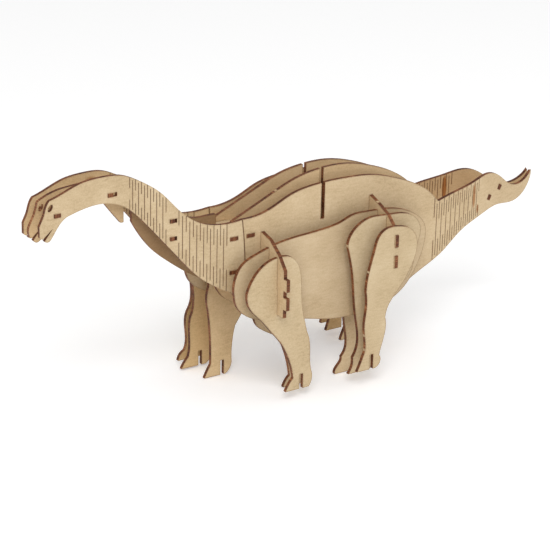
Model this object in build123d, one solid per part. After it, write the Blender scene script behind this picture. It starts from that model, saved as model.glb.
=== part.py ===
from build123d import *
import os
from math import cos, degrees, sin

os.makedirs("parts", exist_ok=True)

# Overall size; every outline is stretched to suit.
length = 473.0
height = 198.0
long = length / 473
tall = height / 198

# Laser-cut sheet and the planes it stands in, counted out from the spine.
sheet = 3.0
fit = 0.1
slit = 0.42
seam = 0.5
pitch = 11.7
inner_y = pitch
side_y = 2 * pitch
flank_y = 3 * pitch
middle_y = 4 * pitch
outer_y = 5 * pitch

# Cross ribs and the seam between neck and body.
front_rib_x = -54.5 * long
rear_rib_x = 47.5 * long
seam_x = -73.0 * long
tail_x = 112.0 * long

# The right half of the loose assembly sits lower on the ribs than the left.
neck_drop = 4.5
side_drop = 4.5
inner_drop = 3.0

# Bends cut into the neck and tail panels, and the count of slits in each.
neck_rear_slits = 15
neck_front_slits = 13
tail_slits = 21
head_half = 12.3
nose_turn = 0.026
neck_straight = 14.0 * long
neck_rear_bend = 40.0 * long
neck_middle = 10.0 * long
neck_front_bend = 29.0 * long
nose_length = 74.0 * long
tail_bend = 50.0 * long
tail_straight = 71.0 * long


def outline(*runs):
    """Flat face at y = 0 from runs of (x, z), each carrying on from the one before it. A single
    point is reached by a straight edge, several points by a smooth curve; the last edge closes it."""
    first, last, edges = runs[0][0], [], []
    for run in (*runs, [first]):
        points = [(x * long, 0, z * tall) for x, z in last + run]
        last = [run[-1]]
        if len(points) == 2 and points[0] != points[1]:
            edges.append(Line(*points))
        elif len(points) > 2:
            edges.append(Spline(*points))
    return Face(Wire(edges))


def between(face, low, high):
    """Solid swept from one y to another."""
    return extrude(face.moved(Pos(0, low, 0)), amount=high - low, dir=(0, 1, 0))


def plate(face, y):
    """One sheet thickness of a face, centred on a plane."""
    return between(face, y - sheet / 2, y + sheet / 2)


def block(x, y, z):
    """Box from three (low, high) pairs."""
    sizes = [high - low for low, high in (x, y, z)]
    middle = [(high + low) / 2 for low, high in (x, y, z)]
    return Pos(*middle) * Box(*sizes)


def gap(x, low, high, y=0.0, width=sheet + 2 * fit):
    """Opening through a plate at y for a sheet that stands across it at x."""
    return block((x - width / 2, x + width / 2), (y - 40, y + 40), (low * tall, high * tall))


def foot_slot(x, sole, y=0.0):
    """Empty slot open at the sole of a foot."""
    return gap(x * long, sole - 5, sole + 12.5, y)


def bent_wall(moves, low, high):
    """Sheet standing on edge that runs along +X, turning towards +Y; moves are (length, turn)."""
    x, y, heading = 0.0, 0.0, 0.0
    wall = None
    for run, turn in moves:
        if turn == 0:
            strip = Pos(x, y, 0) * Rot(0, 0, degrees(heading)) * Pos(run / 2, 0, 0)
            piece = strip * Box(run, sheet, high - low)
            x, y = x + run * cos(heading), y + run * sin(heading)
        else:
            radius = run / turn
            centre = (x - radius * sin(heading), y + radius * cos(heading))

            def at(part, off):
                angle = heading + turn * part
                return (centre[0] + (radius - off) * sin(angle), centre[1] - (radius - off) * cos(angle))
            near, far = -sheet / 2, sheet / 2
            face = Face(Wire([
                ThreePointArc(at(0, near), at(0.5, near), at(1, near)), Line(at(1, near), at(1, far)),
                ThreePointArc(at(1, far), at(0.5, far), at(0, far)), Line(at(0, far), at(0, near))]))
            piece = Pos(0, 0, -(high - low) / 2) * extrude(face, amount=high - low, dir=(0, 0, 1))
            x, y = at(1, 0)
            heading += turn
        wall = piece if wall is None else wall + piece
    return Pos(0, 0, (high + low) / 2) * wall


def hinge(panel, first, last, count):
    """Living-hinge slits: two cuts in from the edges, then one long centred cut, and so on."""
    for i in range(count):
        x = first + (last - first) * i / (count - 1)
        strip = (panel & block((x - slit / 2, x + slit / 2), (-70, 70), (0, 400))).bounding_box()
        low, high = strip.min.Z, strip.max.Z
        reach = 0.32 * (high - low)
        inset = 0.065 * (high - low)
        cuts = [(low + inset, high - inset)] if i % 2 else [(low - 1, low + reach), (high - reach, high + 1)]
        for start, end in cuts:
            panel = panel - block((x - slit / 2, x + slit / 2), (-70, 70), (start, end))
    return panel


def whole(shape):
    """The one solid of a shape."""
    return shape.solid()


def far(shape):
    """Mirror image on the other side of the spine."""
    return shape.mirror(Plane.XZ)


parts = {}

# Cross ribs: a full-height middle held in the inner and side plates, shoulders that carry
# the flanks and middle legs in slots from below, and two tabs at each end for the outer legs.
front_tabs = ((82, 92), (97, 107))
rear_tabs = ((97, 107), (114, 124))


def rib(x, bottom, shoulders, flank_top, leg_top, tabs):
    end = outer_y - sheet / 2 - 0.3
    top = [(0, shoulders[0]), (side_y + 1.6, shoulders[0]), (flank_y + 1.4, shoulders[1]), (middle_y + 1.7, shoulders[2]),
           (end, shoulders[3])]
    right = [(y, z * tall) for y, z in top] + [(end, bottom * tall), (0, bottom * tall)]
    profile = make_face(Polyline([(x, y, z) for y, z in right], close=True).edges())
    half = extrude(profile, amount=sheet, dir=(1, 0, 0)).moved(Pos(-sheet / 2, 0, 0))
    half = half + half.mirror(Plane.XZ)
    wide = sheet / 2 + fit
    for side in (-1, 1):
        for plane, top_z in ((flank_y, flank_top), (middle_y, leg_top)):
            y = side * plane
            half = half - block((x - 5, x + 5), (y - wide, y + wide), (0, top_z * tall))
        for low, high in tabs:
            ends = sorted((side * (end - 3), side * (outer_y + sheet / 2 + 0.8)))
            half = half + block((x - sheet / 2, x + sheet / 2), ends,
                                (low * tall + fit, high * tall - fit))
    return half


parts["rib_front"] = rib(front_rib_x, 75, (135, 132, 123, 113), 101, 96, front_tabs)
parts["rib_rear"] = rib(rear_rib_x, 92, (147, 143, 137.5, 130), 115, 114, rear_tabs)


def rib_mortises(y):
    """Closed openings for the full height of both ribs."""
    return gap(front_rib_x, 74.9, 135.1, y) + gap(rear_rib_x, 91.9, 147.1, y)


# Shoulder joiners: two flat bridges that tie the neck panels to the body sides.
joiner_z = {"upper": 134.0 * tall, "lower": 107.0 * tall}
joiner_front = -88.0 * long
joiner_rear = -57.0 * long - 1.0
joiner_meet = -66.0 * long
spine_meet = -85.0 * long
tab_runs = [(-84 * long, -77 * long), (-69 * long, -62 * long)]
for name, z in joiner_z.items():
    half_width = side_y - sheet / 2 - 0.3
    bridge = block((joiner_front, joiner_rear), (-half_width, half_width), (z - sheet / 2, z + sheet / 2))
    for start, end in tab_runs:
        reach = side_y + sheet / 2 + 0.4
        bridge = bridge + block((start, end), (-reach, reach), (z - sheet / 2, z + sheet / 2))
    for y in (-inner_y, inner_y):
        bridge = bridge - block((joiner_meet, 0), (y - sheet / 2 - fit, y + sheet / 2 + fit), (z - 5, z + 5))
    bridge = bridge - block((-120 * long, spine_meet), (-sheet / 2 - fit, sheet / 2 + fit), (z - 5, z + 5))
    parts["shoulder_joiner_" + name] = bridge


def joiner_mortises(shape):
    """Openings in a side or neck panel for the joiner tabs."""
    for z in joiner_z.values():
        for start, end in tab_runs:
            shape = shape - block((start - fit, end + fit), (-40, 40),
                                  (z - sheet / 2 - fit, z + sheet / 2 + fit))
    return shape


# Tail bend: each side turns in until the two tips all but touch.
tail_turn = (side_y - sheet / 2 - 0.35) / (tail_bend / 2 + tail_straight)
tail_wall = Pos(tail_x, -side_y, 0) * bent_wall([(tail_bend, tail_turn), (tail_straight, 0)], 40, 180 * tall)
body_wall = block((-120 * long, tail_x), (-side_y - sheet / 2, -side_y + sheet / 2), (-1, 230 * tall))
side_wall = body_wall + tail_wall

back = [(-65, 148), (-47, 152), (-29, 160), (-10, 164), (28, 165), (50, 163), (74, 156), (100, 144),
        (115, 130)]
tail_top = [(134, 134), (157, 138), (173, 141), (185, 138), (199, 128), (210, 123), (218, 123), (231.5, 132)]
tail_under = [(229, 122), (219, 112), (206, 109), (188, 111), (166, 107), (142, 99), (122, 85),
              (97, 72), (83, 64)]

left_face = outline(
    [(-73, 148)], back, [(117, 130)], tail_top, tail_under,
    [(70, 60), (58, 56), (50, 50), (46, 41)],
    [(46, 33), (44, 22), (41, 12)], [(43, 7), (41, 2), (37, 0)], [(18, 0)],
    [(21, 7), (23.5, 10), (24, 14)], [(26.5, 17), (27.5, 35), (27, 57)],
    [(6, 60), (-16, 60)],
    [(-14, 41), (-11, 35), (-10, 20), (-8, 9)], [(-11, 0)], [(-32, 0)], [(-29, 6), (-26, 9)],
    [(-28, 20), (-34, 37)], [(-44, 48), (-54, 54), (-61, 65)],
    [(-67, 72), (-70.5, 82)], [(-70, 113), (-73, 148)])


def lowered(points):
    """The same points on the right half, which sits lower but meets the left at the tail tip."""
    return [(x, z - side_drop * min(1, (231.5 - x) / 35)) for x, z in points]


right_face = outline(
    [(-73, 148 - side_drop)], lowered(back), lowered([(117, 130)]), lowered(tail_top),
    lowered(tail_under[:-1]), [(90, 62), (87, 52), (86, 40)],
    [(85, 30), (83, 21), (81, 13)], [(82, 10), (80, 6), (76, 4)], [(57, 4)],
    [(60, 12), (63, 18)], [(64, 28), (58, 44), (46, 53), (30, 56)],
    [(10, 57), (-20, 56), (-40, 51)], [(-47.5, 40)],
    [(-50, 27), (-50.5, 12)], [(-51.5, 5), (-56, 0)], [(-76, 0)], [(-73, 6), (-70, 11)],
    [(-70, 22), (-73, 58)], [(-74, 72), (-72.5, 78)], [(-71, 109), (-73, 148 - side_drop)])


def side_plate(face, feet):
    """Body side, inner legs and tail in one sheet, made on the left."""
    shape = side_wall & between(face, -60, 0)
    shape = shape - rib_mortises(-side_y) - gap(1 * long, 135.5, 230)
    for x, sole in feet:
        shape = shape - foot_slot(x, sole)
    shape = joiner_mortises(shape)
    return hinge(shape, 112 * long, 162 * long, tail_slits)


# Tail spreaders: two short strips across the hollow of the tail, each leaning back.
def leaning_strip(x, z, tall_by, thick, reach):
    return Pos(x * long, 0, z * tall) * Rot(0, 27, 0) * Box(thick, 2 * reach, tall_by)


def tail_half(x):
    """Distance from the spine to the middle of the tail sheet."""
    return side_y - (x * long - tail_x - tail_bend / 2) * tail_turn


tail_strips = {"front": (176, 120), "rear": (189, 126)}
strip_cuts = None
for name, (x, z) in tail_strips.items():
    parts["tail_spreader_" + name] = leaning_strip(x, z, 4.4, sheet, tail_half(x) + sheet / 2 + 0.5)
    cut = leaning_strip(x, z, 4.4 + 2 * fit, sheet + 2 * fit, 40)
    strip_cuts = cut if strip_cuts is None else strip_cuts + cut

parts["side_left"] = side_plate(left_face, ((-18.5, 0), (35.5, 0))) - strip_cuts
parts["side_right"] = far(side_plate(right_face, ((-59.5, 0), (73, 4))) - strip_cuts)

# Neck panels: two bends bring them in to the width of the head.
neck_turn = ((side_y - head_half - nose_length * nose_turn - neck_front_bend * nose_turn / 2)
             / (neck_rear_bend / 2 + neck_middle + neck_front_bend / 2))
neck_moves = [(neck_straight, 0), (neck_rear_bend, neck_turn), (neck_middle, 0),
              (neck_front_bend, nose_turn - neck_turn), (nose_length, 0)]
neck_wall = bent_wall(neck_moves, 60, 230 * tall).mirror(Plane.YZ).moved(Pos(seam_x, -side_y, 0))
neck_wall = neck_wall + block((seam_x - 1, seam_x + 6), (-side_y - sheet / 2, -side_y + sheet / 2),
                              (60, 230 * tall))

crest = [(-222, 190), (-206, 196), (-189, 198), (-173, 197), (-157, 190), (-142, 180), (-127, 164),
         (-110, 151.5), (-98, 148), (-87, 147), (-73.1, 147.9)]
throat = [(-91, 95), (-109, 107), (-126, 125), (-142, 144), (-157, 161), (-173, 174), (-190, 178),
          (-206, 176), (-215, 173.5)]
muzzle = [[(-220, 171), (-226, 164), (-230, 158)], [(-233, 156), (-235.5, 157)], [(-228.5, 166)],
          [(-237, 158.8)], [(-239.5, 161), (-240.3, 165), (-238.5, 170.5), (-235.8, 176), (-234.3, 181),
                            (-231, 187)]]


def neck_face(drop):
    """Outline of a neck panel; its crest and muzzle drop, its throat only near the head."""
    jaw = [(x, z - drop * min(1, max(0, (-166 - x) / 40))) for x, z in throat]
    face = [[(x, z - drop) for x, z in run] for run in muzzle]
    top = [(x, z - drop) for x, z in crest]
    return outline(top[-1:], [(-69, 135)], [(-67, 80)], [(-76, 86), *jaw], *face, top)


def eye(x, z):
    """Slanted oval hole."""
    oval = extrude(Plane.XZ * Ellipse(1.7, 2.9), amount=80, both=True)
    return Pos(x * long, 0, z * tall) * Rot(0, 30, 0) * oval


def flat_strip(x, z, width, reach, play=0.0):
    """Level strip across the neck."""
    x, z, thick = x * long, z * tall, sheet / 2 + play
    return block((x - width / 2 - play, x + width / 2 + play), (-reach, reach), (z - thick, z + thick))


def neck_half(x):
    """Distance from the spine to the middle of a neck panel."""
    run = seam_x - x * long - neck_straight
    side = side_y
    for move, turn in ((neck_rear_bend, neck_turn), (neck_middle, 0),
                       (neck_front_bend, nose_turn - neck_turn)):
        start = 0.0 if turn > 0 else neck_turn
        step = min(max(run, 0), move)
        side -= step * start + turn * step * step / (2 * move)
        run -= step
    return side - max(run, 0) * nose_turn


strips = {"head_spreader": (-225, 175, 5.4, 0), "crest_spreader": (-182, 183.5, 4.2, 1.7),
          "neck_spreader_upper": (-132, 156, 3.8, 0.8), "neck_spreader_lower": (-132, 142, 3.8, 0.8)}
for name, (x, z, width, forward) in strips.items():
    parts[name] = flat_strip(x, z, width, neck_half(x) + sheet / 2 + 0.6)


def neck_panel(drop, body_face):
    """Neck panel made on the left: its outline drops, while its joints stay with the strips."""
    panel = neck_wall & between(neck_face(drop), -60, 0)
    panel = joiner_mortises(panel - between(body_face, -60, 0).moved(Pos(-seam, 0, 0)))
    for x, z, width, forward in strips.values():
        panel = panel - flat_strip(x + forward / long, z, width + 2 * forward, 40, fit)
    panel = hinge(panel, -166 * long, -137 * long, neck_front_slits)
    return hinge(panel, -127 * long, -87 * long, neck_rear_slits)


parts["neck_left"] = neck_panel(0, left_face) - eye(-230.5, 181.5)
parts["neck_right"] = far(neck_panel(neck_drop, right_face))

# Head plate between the panels, with a hook hanging behind it.
head_face = outline(
    [(-234, 183)], [(-235.5, 177), (-238, 171), (-241, 165), (-241.5, 160.5),
                    (-239.5, 156.5)], [(-231, 163.5)],
    [(-238, 154.5)], [(-235, 152.5), (-231, 155), (-225, 163), (-215, 171.5)],
    [(-205, 174), (-190, 176), (-179, 172)], [(-172, 163), (-165.5, 155)], [(-163, 155)], [(-163, 184)],
    [(-175, 190), (-190, 191.5), (-206, 190.5), (-216, 189.5), (-224, 187.5), (-234, 183)])
head = plate(head_face, 0) - eye(-231.5, 178.5)
for name in ("head_spreader", "crest_spreader"):
    x, z, width, forward = strips[name]
    head = head - flat_strip(x, z, width, 40, fit)
parts["head_plate"] = head

# Neck plate on the spine, its keel below the edge of the panels.
keel_face = outline(
    [(-156, 160)], [(-156, 154)], [(-152, 147), (-139, 129.5), (-121, 114), (-103, 101.5), (-82, 92)],
    [(-82, 147)], [(-90, 147), (-104, 148), (-118, 157), (-134, 170), (-150, 180)], [(-156, 178)])
keel = plate(keel_face, 0)
for name in ("neck_spreader_upper", "neck_spreader_lower"):
    x, z, width, forward = strips[name]
    keel = keel - flat_strip(x, z, width, 40, fit)
for z in joiner_z.values():
    keel = keel - block((spine_meet, 0), (-5, 5), (z - sheet / 2 - fit, z + sheet / 2 + fit))
parts["neck_plate"] = keel

# Inner plates: the high back, either side of the spine.
inner_face = outline(
    [(-75, 88)], [(-75, 143)],
    [(-60, 149.5), (-34, 161), (-16, 168), (5, 172), (32, 172), (57, 166), (78, 157.5), (92, 148)],
    [(94.5, 135), (90, 105), (78, 82), (55, 72)], [(10, 66)], [(-50, 66)], [(-66, 74), (-75, 88)])
for name, drop in (("inner_left", 0), ("inner_right", inner_drop)):
    inner = plate(inner_face, -inner_y).moved(Pos(0, 0, -drop)) - rib_mortises(-inner_y)
    inner = inner - gap(7.5 * long, 140, 230)
    for z in joiner_z.values():
        inner = inner - block((-120 * long, joiner_meet), (-20, 0),
                              (z - sheet / 2 - fit, z + sheet / 2 + fit))
    parts[name] = far(inner) if drop else inner

# Flanks: the round belly plates outside the body sides.
flank_face = outline(
    [(-87, 93), (-86, 106), (-80, 116), (-67, 122.3), (-54, 126.3), (-26, 130), (0, 132), (12, 134.5),
     (21, 137.8),
     (35, 138.5), (56, 137.5), (70, 134.5), (84, 128), (93, 118.5), (94, 103), (86, 82), (74, 67), (50, 56),
     (26, 54), (5, 55), (-19, 60), (-45, 65), (-71, 71), (-80, 77), (-87, 93)])
flank = plate(flank_face, -flank_y) - gap(front_rib_x, 101, 230, -flank_y) - gap(rear_rib_x, 115, 230,
                                                                                 -flank_y)
parts["flank_left"] = flank
parts["flank_right"] = far(flank)


# Leg plates: each has a slot at the top for its rib, or two mortises for the rib tabs.
def leg(face, y, rib_x, foot, slot_from=None, tabs=()):
    shape = plate(face, y) - foot_slot(*foot, y)
    if slot_from is not None:
        shape = shape - gap(rib_x, slot_from, 230, y)
    for low, high in tabs:
        shape = shape - gap(rib_x, low, high, y)
    return shape


front_left_face = outline(
    [(-83, 97), (-77, 109), (-66, 118.5), (-53, 121.5), (-43, 119.5), (-36.5, 112), (-33.5, 98), (-33, 85),
     (-30, 67), (-27, 55)],
    [(-24, 44), (-23.5, 31), (-21.5, 20)], [(-21.3, 14), (-24, 8)], [(-46, 8)], [(-42, 15), (-39, 18.5)],
    [(-40, 24), (-47, 43)], [(-51, 50), (-60, 61), (-70, 73), (-80, 84), (-83, 97)])
parts["leg_front_left_middle"] = leg(front_left_face, -middle_y, front_rib_x, (-31.5, 8), 96)

front_right_face = outline(
    [(-76, 95), (-73, 106), (-64, 115.5), (-53, 120), (-42, 116), (-36, 105), (-34, 85), (-38, 66),
     (-51, 49)],
    [(-53, 35), (-55, 23), (-55, 11)], [(-56, 5), (-60, 1)], [(-83, 1)], [(-80, 6), (-76.5, 10)],
    [(-75, 22), (-75.5, 33), (-74.5, 44)], [(-72, 52), (-72, 68), (-74.5, 84), (-76, 95)])
parts["leg_front_right_middle"] = leg(front_right_face, middle_y, front_rib_x, (-65.5, 1), 96)

front_right_outer_face = outline(
    [(-70, 97), (-64, 109), (-54, 113.5), (-42, 109), (-35, 95), (-35, 75), (-41, 60), (-47, 50)],
    [(-49, 36), (-51, 24), (-51, 13)], [(-52, 7), (-56, 3)], [(-79, 3)], [(-76, 9), (-73, 11)],
    [(-71, 19), (-72, 32), (-70, 45)], [(-67, 52), (-67, 68), (-69, 84), (-70, 97)])
parts["leg_front_right_outer"] = leg(front_right_outer_face, outer_y, front_rib_x, (-61.5, 3), None,
                                     front_tabs)

rear_left_face = outline(
    [(9.5, 118), (14, 129), (31, 138), (45, 137.5), (60, 136.5), (74, 131), (80, 121), (77, 105), (68, 80),
     (57, 75), (48, 66), (42, 51)],
    [(43.5, 44), (42, 37), (38.5, 21)], [(40, 16), (38, 12), (33, 9.5)], [(14, 9.5)], [(18, 17), (18, 23)],
    [(21.5, 30), (19.5, 58), (15, 95), (9.5, 118)])
parts["leg_rear_left_middle"] = leg(rear_left_face, -middle_y, rear_rib_x, (29, 9.5), 114)

rear_left_outer_face = outline(
    [(20, 82), (21.5, 95), (27.5, 117), (31, 126), (38, 131), (50, 131), (60, 128), (67, 119.5), (68, 109),
     (63, 95), (53, 80), (45, 71), (39.5, 57)],
    [(40.5, 50), (38, 37), (35, 26)], [(36.5, 22), (35, 18), (31, 15.5)], [(14, 15.5)], [(17, 22), (19, 27)],
    [(21, 33), (19.5, 52), (21, 68), (20, 82)])
parts["leg_rear_left_outer"] = leg(rear_left_outer_face, -outer_y, rear_rib_x, (27.5, 15.5), None, rear_tabs)

rear_right_face = outline(
    [(14, 120), (22, 133), (34, 140), (55, 140), (72, 134), (84, 123), (92, 100), (94, 76), (92, 58),
     (89, 49)],
    [(90, 43), (89, 35), (84.5, 17)], [(86, 12), (84, 7), (80, 4)], [(59, 4)], [(62, 13), (64, 19)],
    [(64, 34), (58, 54), (38, 82), (18, 104), (14, 120)])
parts["leg_rear_right_middle"] = leg(rear_right_face, middle_y, rear_rib_x, (76.5, 4), 114)

rear_right_outer_face = outline(
    [(30, 112), (33, 124), (42, 131), (56, 132), (70, 127), (80, 115), (87, 96), (91, 76), (91, 60),
     (89, 50)],
    [(90, 44), (89, 36), (86, 19)], [(88, 14), (86, 9), (82, 6)], [(62, 6)], [(64, 15), (66, 21)],
    [(67, 36), (62, 54), (45, 84), (33, 100), (30, 112)])
parts["leg_rear_right_outer"] = leg(rear_right_outer_face, outer_y, rear_rib_x, (78, 6), None, rear_tabs)

# Centre the model over the origin with its soles on z = 0, then write every piece.
parts = {name: whole(shape) for name, shape in parts.items()}
boxes = [shape.bounding_box() for shape in parts.values()]
middle_x = (min(box.min.X for box in boxes) + max(box.max.X for box in boxes)) / 2
middle_y = (min(box.min.Y for box in boxes) + max(box.max.Y for box in boxes)) / 2
ground = min(box.min.Z for box in boxes)
for name, shape in parts.items():
    export_step(shape.moved(Pos(-middle_x, -middle_y, -ground)), f"parts/{name}.step")
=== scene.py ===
import math
import bpy
import bmesh
from mathutils import Matrix, Vector

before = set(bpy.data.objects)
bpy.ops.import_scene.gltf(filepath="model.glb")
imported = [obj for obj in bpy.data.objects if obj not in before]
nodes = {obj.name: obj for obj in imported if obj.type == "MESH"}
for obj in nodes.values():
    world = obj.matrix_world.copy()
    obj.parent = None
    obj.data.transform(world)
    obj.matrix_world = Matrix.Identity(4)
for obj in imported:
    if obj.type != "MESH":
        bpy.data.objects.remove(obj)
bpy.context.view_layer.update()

# The studio: a wide, pale table top where the finished dinosaur stands on its
# feet, under soft, even light from a large window and the walls of the room.
scene = bpy.context.scene
scene.view_settings.view_transform = "Standard"
table_mesh = bpy.data.meshes.new("table_top")
top = bmesh.new()
bmesh.ops.create_grid(top, x_segments=1, y_segments=1, size=9.0)
top.to_mesh(table_mesh)
top.free()
table_top = bpy.data.objects.new("table_top", table_mesh)
scene.collection.objects.link(table_top)
pale = bpy.data.materials.new("pale_table")
pale.use_nodes = True
pale_shader = pale.node_tree.nodes["Principled BSDF"]
pale_shader.inputs["Base Color"].default_value = (0.97, 0.97, 0.97, 1)
pale_shader.inputs["Roughness"].default_value = 0.9
pale_shader.inputs["Emission Color"].default_value = (1.0, 1.0, 1.0, 1)
pale_shader.inputs["Emission Strength"].default_value = 0.22
table_mesh.materials.append(pale)
table_top.location.z = -0.0004

sky = bpy.data.worlds.new("room")
scene.world = sky
sky.use_nodes = True
sky.node_tree.nodes["Background"].inputs["Color"].default_value = (1.0, 1.0, 1.0, 1)
sky.node_tree.nodes["Background"].inputs["Strength"].default_value = 0.62


def softbox(name, place, target, size, watts):
    light = bpy.data.lights.new(name, "AREA")
    light.size = size
    light.energy = watts
    lamp = bpy.data.objects.new(name, light)
    lamp.location = place
    lamp.rotation_mode = "QUATERNION"
    lamp.rotation_quaternion = (Vector(target) - Vector(place)).to_track_quat("-Z", "Y")
    scene.collection.objects.link(lamp)


softbox("window_light", (-1.1, -1.7, 2.0), (0, 0, 0.08), 1.4, 36)
softbox("fill_light", (1.6, -1.2, 1.2), (0, 0, 0.08), 1.6, 4)

# The viewpoint: a long lens, a little above the back and round towards the nose.
camera_data = bpy.data.cameras.new("viewpoint")
camera_data.lens = 137.45
camera_data.sensor_width = 36
camera_data.clip_start = 0.05
camera_data.clip_end = 50
camera = bpy.data.objects.new("viewpoint", camera_data)
azimuth, elevation, roll = math.radians(-34.5), math.radians(21), math.radians(1.3)
back = Vector((math.sin(azimuth) * math.cos(elevation), -math.cos(azimuth) * math.cos(elevation),
               math.sin(elevation)))
right = Vector((math.cos(azimuth), math.sin(azimuth), 0))
up = back.cross(right)
aim = Vector((-0.0044, 0.0227, 0.075))
camera.rotation_mode = "QUATERNION"
camera.rotation_quaternion = Matrix((
    right * math.cos(roll) + up * math.sin(roll),
    up * math.cos(roll) - right * math.sin(roll), back)).transposed().to_quaternion()
camera.location = aim + back * 1.68
scene.collection.objects.link(camera)
scene.camera = camera


# Body sides: one sheet of raw fibreboard each, from the seam at the shoulder over the
# inner legs to the tip of the tail. Laser cutting leaves the faces pale and felted and
# scorches every cut edge brown, with fine lines across the thickness of the sheet.
class Grain:
    """A shader socket that sums and products can be written on."""

    def __init__(self, tree, socket=None):
        self.tree = tree
        self.socket = socket

    def node(self, kind, settings=None, sockets=None, out=0):
        made = self.tree.nodes.new(kind)
        for name, value in (settings or {}).items():
            if name == "stops":
                ramp = made.color_ramp
                while len(ramp.elements) < len(value):
                    ramp.elements.new(0.5)
                for stop, (place, colour) in zip(ramp.elements, value):
                    stop.position = place
                    stop.color = (*colour, 1)
            else:
                setattr(made, name, value)
        for key, value in (sockets or {}).items():
            if isinstance(value, Grain):
                self.tree.links.new(value.socket, made.inputs[key])
            else:
                made.inputs[key].default_value = value
        return Grain(self.tree, made.outputs[out])

    def math(self, operation, *values):
        return self.node("ShaderNodeMath", {"operation": operation}, dict(enumerate(values)))

    def __add__(self, other):
        return self.math("ADD", self, other)

    def __sub__(self, other):
        return self.math("SUBTRACT", self, other)

    def __rsub__(self, other):
        return self.math("SUBTRACT", other, self)

    def __mul__(self, other):
        return self.math("MULTIPLY", self, other)

    def __truediv__(self, other):
        return self.math("DIVIDE", self, other)

    __radd__ = __add__
    __rmul__ = __mul__

    def ramp(self, low, high):
        """0 at low, 1 at high, held between them."""
        return self.node("ShaderNodeMapRange", {"clamp": True},
                         {"Value": self, "From Min": low, "From Max": high})

    def blend(self, first, second):
        """first where this is 0, second where it is 1."""
        return self.node("ShaderNodeMix", {"data_type": "RGBA"}, {0: self, 6: first, 7: second}, out=2)

    def tint(self, *stops):
        return self.node("ShaderNodeValToRGB", {"stops": stops}, {0: self})

    def apart(self):
        """The three parts of a vector."""
        made = self.tree.nodes.new("ShaderNodeSeparateXYZ")
        self.tree.links.new(self.socket, made.inputs[0])
        return [Grain(self.tree, out) for out in made.outputs]


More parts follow.
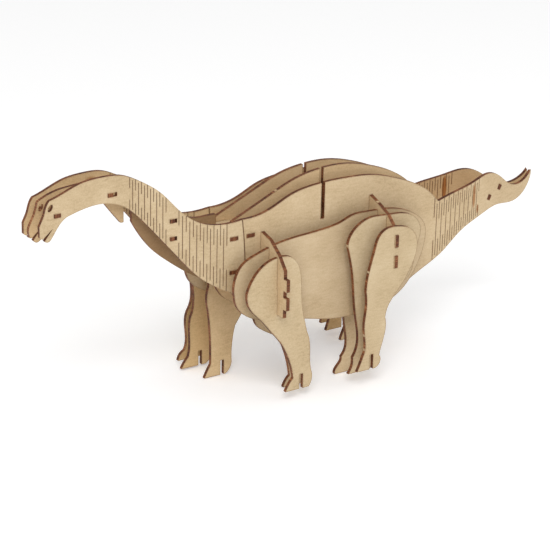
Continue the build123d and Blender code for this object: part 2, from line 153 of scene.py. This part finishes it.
def laser_cut_board(name, facing, tone_and_shade, seed, stains_and_shade=(), nibs=()):
    """Fibreboard sheet whose faces look along one axis (0, 1 or 2), with red, green and blue multipliers on
    its colour: the sheet's own colour, and on sheets in the shade of others painted warm shade as well.
    Stains are (x, z, half width, half height, strength) in metres, on the faces: real amber burns, and broad
    weak patches that are painted warm shade. Nibs are the (along, z) of pale stubs on the cut edge, left
    where the piece was snapped from its sheet."""
    material = bpy.data.materials.new(name)
    material.use_nodes = True
    tree = material.node_tree
    shader = tree.nodes["Principled BSDF"]
    start = Grain(tree)
    place = start.node("ShaderNodeTexCoord", out=3)
    normal = start.node("ShaderNodeTexCoord", out=1)
    parts_of_normal = normal.apart()
    x, y, z = place.apart()
    along = y if facing == 0 else x
    flat = parts_of_normal[facing].math("ABSOLUTE", parts_of_normal[facing]).ramp(0.80, 0.90)

    # Colour multipliers: the sheet's own colour, and painted warm shade on sheets that stand in the shade of
    # others.
    def shade(red, green, blue):
        return (red * tone_and_shade[0], green * tone_and_shade[1], blue * tone_and_shade[2])

    def speckle(scale, detail, stretch=(1, 1, 1), rough=0.5):
        moved = place.node("ShaderNodeMapping", {}, {
            "Vector": place, "Location": (seed, seed * 0.7, seed * 1.3), "Scale": stretch})
        return moved.node("ShaderNodeTexNoise", {}, {
            "Vector": moved, "Scale": scale, "Detail": detail, "Roughness": rough})

    # Pale face: broad clouding, then felted fibres, then sparse dark flecks.
    clouds = speckle(34, 3)
    fibres = speckle(900, 4, rough=0.7)
    long_fibres = speckle(420, 3, stretch=(0.35, 1, 1.6), rough=0.65)
    flecks = speckle(1500, 1).ramp(0.70, 0.80)
    mix = clouds * 0.35 + fibres * 0.40 + long_fibres * 0.25
    pale_face = mix.tint(
        (0.34, shade(0.46, 0.330, 0.187)),
        (0.46, shade(0.585, 0.437, 0.262)),
        (0.54, shade(0.640, 0.487, 0.302)),
        (0.68, shade(0.720, 0.570, 0.372)))
    pale_face = (flecks * 0.45).blend(pale_face, (*shade(0.26, 0.155, 0.075), 1))

    # Soot from the beam creeps a little way over the face beside every cut, and less
    # beside the fine slits of the neck and tail.
    soot_reach = 0.0015
    rounded = start.node("ShaderNodeBevel", {"samples": 4}, {"Radius": soot_reach})
    straight = rounded.node("ShaderNodeVectorMath", {"operation": "DOT_PRODUCT"},
                            {0: rounded, 1: normal}, out=1)
    soot = (1 - straight).ramp(0.002, 0.07)
    ragged = speckle(700, 2)
    slit_stretches = (x.ramp(0.114, 0.120) + x.ramp(-0.080, -0.086)) * 0.6
    soot = soot * (ragged.ramp(0.25, 0.75) * 0.6 + 0.5) * (1 - slit_stretches)
    pale_face = (soot * 0.8).blend(pale_face, (0.165, 0.070, 0.026, 1))

    # Amber stains where the beam dwelt, and broad weak amber patches that are painted warm shade between the
    # plates.
    for at_x, at_z, half_wide, half_tall, strength in stains_and_shade:
        away_x = (x - at_x) / half_wide
        away_z = (z - at_z) / half_tall
        near = (1 - (away_x * away_x + away_z * away_z)).ramp(0.0, 0.55)
        pale_face = (near * strength).blend(pale_face, (0.30, 0.105, 0.020, 1))

    # Scorched edge: fine lines across the thickness, browner patches and sooty ones.
    across = [1.0, 1.0, 1.0]
    across[facing] = 0.06
    lines = speckle(1300, 2, stretch=across)
    patches = speckle(75, 2)
    burnt = (lines * 0.55 + patches * 0.45).tint(
        (0.34, (0.050, 0.014, 0.006)),
        (0.47, (0.120, 0.038, 0.015)),
        (0.56, (0.210, 0.074, 0.027)),
        (0.70, (0.400, 0.180, 0.078)))
    nib_radius = 0.001265
    for at_along, at_z in nibs:
        off_along = along - at_along
        off_z = z - at_z
        near = (1 - (off_along * off_along + off_z * off_z) / nib_radius ** 2).ramp(0.0, 0.4)
        burnt = (near * 0.85).blend(burnt, pale_face)
    colour = flat.blend(burnt, pale_face)
    links = tree.links
    links.new(colour.socket, shader.inputs["Base Color"])
    rough = flat * 0.14 + 0.66
    links.new(rough.socket, shader.inputs["Roughness"])
    shader.inputs["Specular IOR Level"].default_value = 0.28
    relief = flat * (fibres * 0.6 + long_fibres * 0.4) + (1 - flat) * lines
    bump = relief.node("ShaderNodeBump", {}, {"Height": relief, "Strength": 0.35, "Distance": 0.00012})
    links.new(bump.socket, shader.inputs["Normal"])
    return material


def finish_sheet(name, material):
    """Give a cut sheet its board."""
    slots = nodes[name].material_slots
    for slot in slots:
        slot.material = material
    if not slots:
        nodes[name].data.materials.append(material)


near_stains = ((0.1616, 0.126, 0.0019, 0.012, 0.75), (0.1668, 0.1135, 0.0014, 0.0045, 0.75))
# On the far side the broad weak first patch is painted warm shade on the inner face of the tail; the narrow
# one is a real amber burn.
far_stains_and_shade = ((0.1500, 0.128, 0.0500, 0.035, 0.28), (0.1608, 0.122, 0.0024, 0.012, 0.95))
finish_sheet("side_left", laser_cut_board("left_side_board", 1, (0.92, 0.92, 0.91), 0.0, near_stains))
# The far side's board is warmer and browner than the near one: painted warm shade, for the shade and bounced
# light between the plates.
finish_sheet("side_right", laser_cut_board("right_side_board", 1, (0.98, 0.94, 0.86), 1.6, far_stains_and_shade))

# Inner plates: the two tallest sheets, which make the top of the back. They stand
# between the sides on the same two ribs, each with an open slot left at its crest.
# Their board is warmer and browner than the outer ones: painted warm shade between the sides.
inner_board = laser_cut_board("inner_plate_board", 1, (0.96, 0.91, 0.84), 3.1, (), ((-0.0294, 0.161),))
finish_sheet("inner_left", inner_board)
finish_sheet("inner_right", inner_board)

# Flanks: the round belly plates outside the sides, hung on the ribs by two slots.
flank_board = laser_cut_board("flank_board", 1, (0.88, 0.88, 0.88), 5.7)
finish_sheet("flank_left", flank_board)
finish_sheet("flank_right", flank_board)

# Cross ribs: two upright sheets through every layer of the body, which hold the
# whole animal square. Only their rims and tabs show from outside.
rib_board = laser_cut_board("rib_board", 0, (0.95, 0.93, 0.9), 8.3, (), ((-0.034, 0.144),))
finish_sheet("rib_front", rib_board)
finish_sheet("rib_rear", rib_board)

# Neck and head: two panels made bendable by rows of fine cuts, with the head plate
# and the keel of the neck held between them, and a scorched spot on the right crest.
crest_spot = ((-0.1775, 0.1865, 0.0060, 0.0040, 0.5), (-0.1775, 0.1865, 0.0022, 0.0024, 1.0))
finish_sheet("neck_left", laser_cut_board("left_neck_board", 1, (0.90, 0.91, 0.91), 11.9))
# The far neck panel and the head plate between the panels have warmer, browner boards: painted warm shade.
finish_sheet("neck_right", laser_cut_board("right_neck_board", 1, (0.98, 0.94, 0.86), 12.7, crest_spot))
finish_sheet("head_plate", laser_cut_board("head_plate_board", 1, (0.92, 0.86, 0.78), 13.4))
# The keel's board is toned dark brown: painted shade, for the shadow of the neck panels over it.
finish_sheet("neck_plate", laser_cut_board("neck_keel_board", 1, (0.52, 0.42, 0.34), 15.1))

# Spreaders and shoulder joiners: short level strips pushed through both panels,
# their scorched ends just proud of the faces.
strip_board = laser_cut_board("strip_board", 2, (0.93, 0.93, 0.93), 14.2)
for strip in ("head_spreader", "crest_spreader", "neck_spreader_upper", "neck_spreader_lower",
              "shoulder_joiner_upper", "shoulder_joiner_lower", "tail_spreader_front", "tail_spreader_rear"):
    finish_sheet(strip, strip_board)

# Leg plates: the outer layers of each leg, thinner towards the shin, standing on
# clawed feet with an open slot in each sole.
leg_nibs = ((0.0146, 0.118), (0.0255, 0.033), (0.0255, 0.045), (0.0265, 0.098))
left_leg_board = laser_cut_board("left_leg_board", 1, (0.88, 0.90, 0.90), 17.6, (), leg_nibs)
# The far legs' board is warmer and browner than the near legs': painted warm shade.
right_leg_board = laser_cut_board("right_leg_board", 1, (0.98, 0.91, 0.76), 19.2)
for leg in sorted(nodes):
    if leg.startswith("leg_"):
        finish_sheet(leg, left_leg_board if "left" in leg else right_leg_board)
